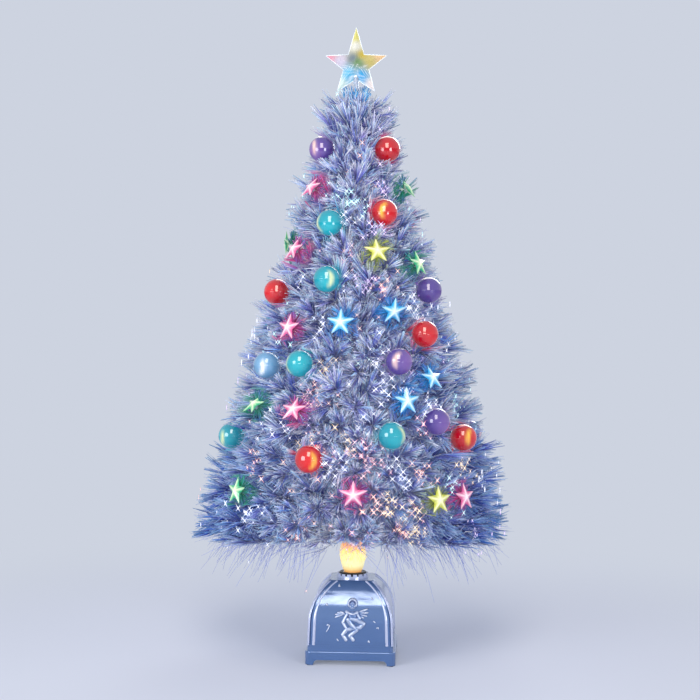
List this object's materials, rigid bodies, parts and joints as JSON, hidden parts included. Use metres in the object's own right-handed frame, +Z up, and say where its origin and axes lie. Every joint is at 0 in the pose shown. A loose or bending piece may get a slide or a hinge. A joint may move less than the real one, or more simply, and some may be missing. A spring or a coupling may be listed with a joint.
{
  "type": "fiber optic christmas tree",
  "caption": "Tabletop fiber optic tree: brush branches with balls and stars on a mast, a lit star on top, and a domed base with lamp and colour wheel.",
  "frame": {"origin": "on the floor under the middle of the base, on the mast's axis", "axes": "+Z up along the mast; -Y is the front of the base with the carved panel; +X to its right"},
  "size_m": [0.5948, 0.5948, 1.2],
  "materials": {
    "silver_plastic": "silver-blue lacquer on moulded ABS",
    "rubber": "matte",
    "zinc_steel": "zinc plated",
    "bright_steel": "ground",
    "painted_steel": "white enamel",
    "ceramic": "fired steatite",
    "lamp_glass": "clear quartz",
    "reflector": "vacuum coated",
    "black_plastic": "moulded ABS",
    "white_plastic": "moulded nylon",
    "clear_plastic": "clear acrylic",
    "filter_film": "dyed polycarbonate in four colours",
    "switch_red": "gloss",
    "polished_fibre": "polished fibre ends",
    "lit_fibre": "lit acrylic fibres",
    "brush_needles": "pale blue translucent film needles",
    "ball_red": "translucent, lit from inside",
    "ball_teal": "translucent, lit from inside",
    "ball_violet": "translucent, lit from inside",
    "ball_clear": "clear",
    "star_pink": "translucent",
    "star_green": "translucent",
    "star_yellow": "translucent",
    "star_cyan": "translucent",
    "topper_plastic": "clear faceted acrylic"
  },
  "bodies": {
    "base": {"base_plinth": "silver_plastic", "base_housing": "silver_plastic", "rubber_feet": "rubber", "housing_screws": "zinc_steel", "socket_collar": "silver_plastic", "lamp_bracket": "zinc_steel", "lamp_screws": "zinc_steel", "lamp_holder": "ceramic", "halogen_lamp": "lamp_glass", "lamp_reflector": "reflector", "wheel_motor": "zinc_steel", "motor_bracket": "zinc_steel", "motor_screws": "zinc_steel", "switch_bezel": "black_plastic", "power_inlet": "black_plastic"},
    "colour_wheel": {"wheel_frame": "black_plastic", "colour_filters": "filter_film", "motor_shaft": "bright_steel"},
    "power_switch": {"switch_rocker": "switch_red"},
    "tree": {"fibre_ferrule": "black_plastic", "light_guide": "polished_fibre", "mast": "painted_steel", "fibre_bundle": "lit_fibre", "tier_collars": "white_plastic", "ornament_caps": "clear_plastic", "balls_red": "ball_red", "balls_teal": "ball_teal", "balls_violet": "ball_violet", "balls_clear": "ball_clear", "stars_pink": "star_pink", "stars_green": "star_green", "stars_yellow": "star_yellow", "stars_cyan": "star_cyan", "branches_tier_01": "brush_needles", "branches_tier_02": "brush_needles", "branches_tier_03": "brush_needles", "branches_tier_04": "brush_needles", "branches_tier_05": "brush_needles", "branches_tier_06": "brush_needles", "branches_tier_07": "brush_needles", "branches_tier_08": "brush_needles", "branches_tier_09": "brush_needles", "branches_tier_10": "brush_needles", "branches_tier_11": "brush_needles", "branches_tier_12": "brush_needles", "branches_tier_13": "brush_needles", "branches_tier_14": "brush_needles"},
    "topper": {"topper_front": "topper_plastic", "topper_back": "topper_plastic", "topper_socket": "clear_plastic", "topper_glow_rod": "clear_plastic"}
  },
  "joints": [
    {"name": "colour_wheel_spin", "type": "hinge", "parent": "base", "child": "colour_wheel", "pos_m": [0.023, 0.023, 0.074], "axis": [0, 0, 1], "continuous": true},
    {"name": "power_switch_rock", "type": "hinge", "parent": "base", "child": "power_switch", "pos_m": [-0.019, 0.0757, 0.055], "axis": [0, 0, 1], "range_deg": [0, 16]},
    {"name": "tree_lift", "type": "slide", "parent": "base", "child": "tree", "axis": [0, 0, 1], "range_m": [0, 0.069]},
    {"name": "topper_lift", "type": "slide", "parent": "tree", "child": "topper", "axis": [0, 0, 1], "range_m": [0, 0.032]}
  ]
}
